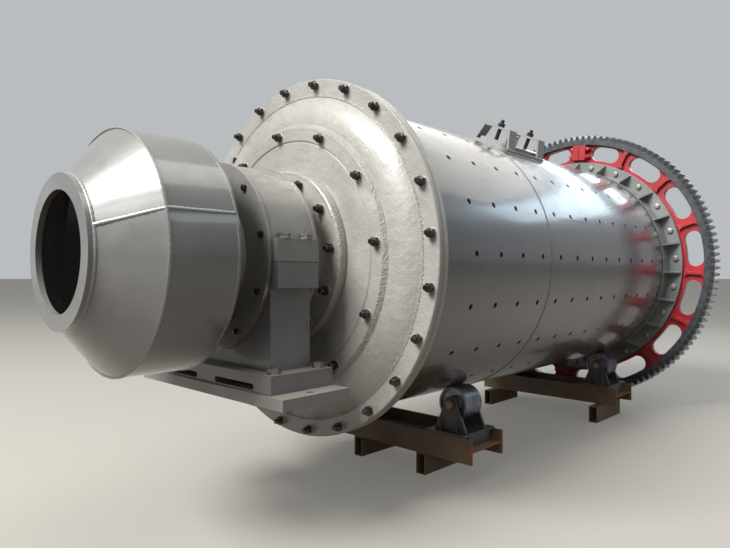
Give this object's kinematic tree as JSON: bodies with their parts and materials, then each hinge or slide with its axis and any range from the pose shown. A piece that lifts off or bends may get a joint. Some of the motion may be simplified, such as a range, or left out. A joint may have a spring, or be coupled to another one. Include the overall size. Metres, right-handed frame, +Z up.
{
  "type": "ball mill",
  "caption": "Horizontal ball mill with drum feeder, trunnion bearings and toothed ring gear, resting on two roller stands in a workshop.",
  "frame": {"origin": "on the floor, in the middle of the mill's length and of its width", "axes": "+X along the mill's axis from the feeder to the ring gear, +Z up, -Y is the side the picture shows"},
  "size_m": [4.866, 2.1758, 2.238],
  "materials": {
    "axle": "brushed",
    "beam": "rusty",
    "bearing": "gloss",
    "block": "rusty",
    "bracket": "satin",
    "casting": "rough primer",
    "feeder": "gloss",
    "flange": "satin",
    "gear": "gloss",
    "manhole": "gloss",
    "mouth": "satin",
    "pedestal": "satin",
    "rear_flange": "gloss",
    "roller": "worn",
    "shell": "gloss",
    "trunnion": "rough primer"
  },
  "bodies": {
    "stands": {"feed_pedestal": "pedestal", "feed_bearing_cap": "bearing", "feed_outer_cover": "bearing", "feed_inner_cover": "bearing", "feed_sole_plate": "pedestal", "discharge_pedestal": "pedestal", "discharge_bearing_cap": "bearing", "discharge_outer_cover": "bearing", "discharge_inner_cover": "bearing", "discharge_sole_plate": "pedestal", "front_beam": "beam", "rear_beam": "beam", "front_blocks": "block", "rear_blocks": "block", "front_near_bracket": "bracket", "front_far_bracket": "bracket", "rear_near_bracket": "bracket", "rear_far_bracket": "bracket", "front_near_axle": "axle", "front_far_axle": "axle", "rear_near_axle": "axle", "rear_far_axle": "axle"},
    "drum": {"feeder_mouth_ring": "mouth", "feeder_cone": "feeder", "feeder_drum": "feeder", "feeder_back": "feeder", "feed_trunnion": "trunnion", "feed_head": "casting", "shell_front_flange": "flange", "shell_front_course": "shell", "shell_rear_course": "shell", "shell_rear_flange": "rear_flange", "manhole_frame": "manhole", "manhole_cover": "manhole", "manhole_bridges": "manhole", "ring_gear_near_half": "gear", "ring_gear_far_half": "gear", "discharge_head": "casting", "discharge_trunnion": "trunnion", "discharge_outlet": "feeder"},
    "front_near_roller_body": {"front_near_roller": "roller"},
    "front_far_roller_body": {"front_far_roller": "roller"},
    "rear_near_roller_body": {"rear_near_roller": "roller"},
    "rear_far_roller_body": {"rear_far_roller": "roller"}
  },
  "joints": [
    {"name": "drum_spin", "type": "hinge", "parent": "stands", "child": "drum", "pos_m": [0.167, 0, 1.14997], "axis": [1, 0, 0], "continuous": true},
    {"name": "front_near_roller_spin", "type": "hinge", "parent": "stands", "child": "front_near_roller_body", "pos_m": [-0.53, -0.38875, 0.387], "axis": [1, 0, 0], "continuous": true},
    {"name": "front_far_roller_spin", "type": "hinge", "parent": "stands", "child": "front_far_roller_body", "pos_m": [-0.53, 0.38875, 0.387], "axis": [1, 0, 0], "continuous": true},
    {"name": "rear_near_roller_spin", "type": "hinge", "parent": "stands", "child": "rear_near_roller_body", "pos_m": [1.335, -0.38875, 0.387], "axis": [1, 0, 0], "continuous": true},
    {"name": "rear_far_roller_spin", "type": "hinge", "parent": "stands", "child": "rear_far_roller_body", "pos_m": [1.335, 0.38875, 0.387], "axis": [1, 0, 0], "continuous": true}
  ],
  "couplings": [
    {"joint": "front_near_roller_spin", "follows": "drum_spin", "ratio": -8.5111},
    {"joint": "front_far_roller_spin", "follows": "drum_spin", "ratio": -8.5111},
    {"joint": "rear_near_roller_spin", "follows": "drum_spin", "ratio": -8.5111},
    {"joint": "rear_far_roller_spin", "follows": "drum_spin", "ratio": -8.5111}
  ]
}
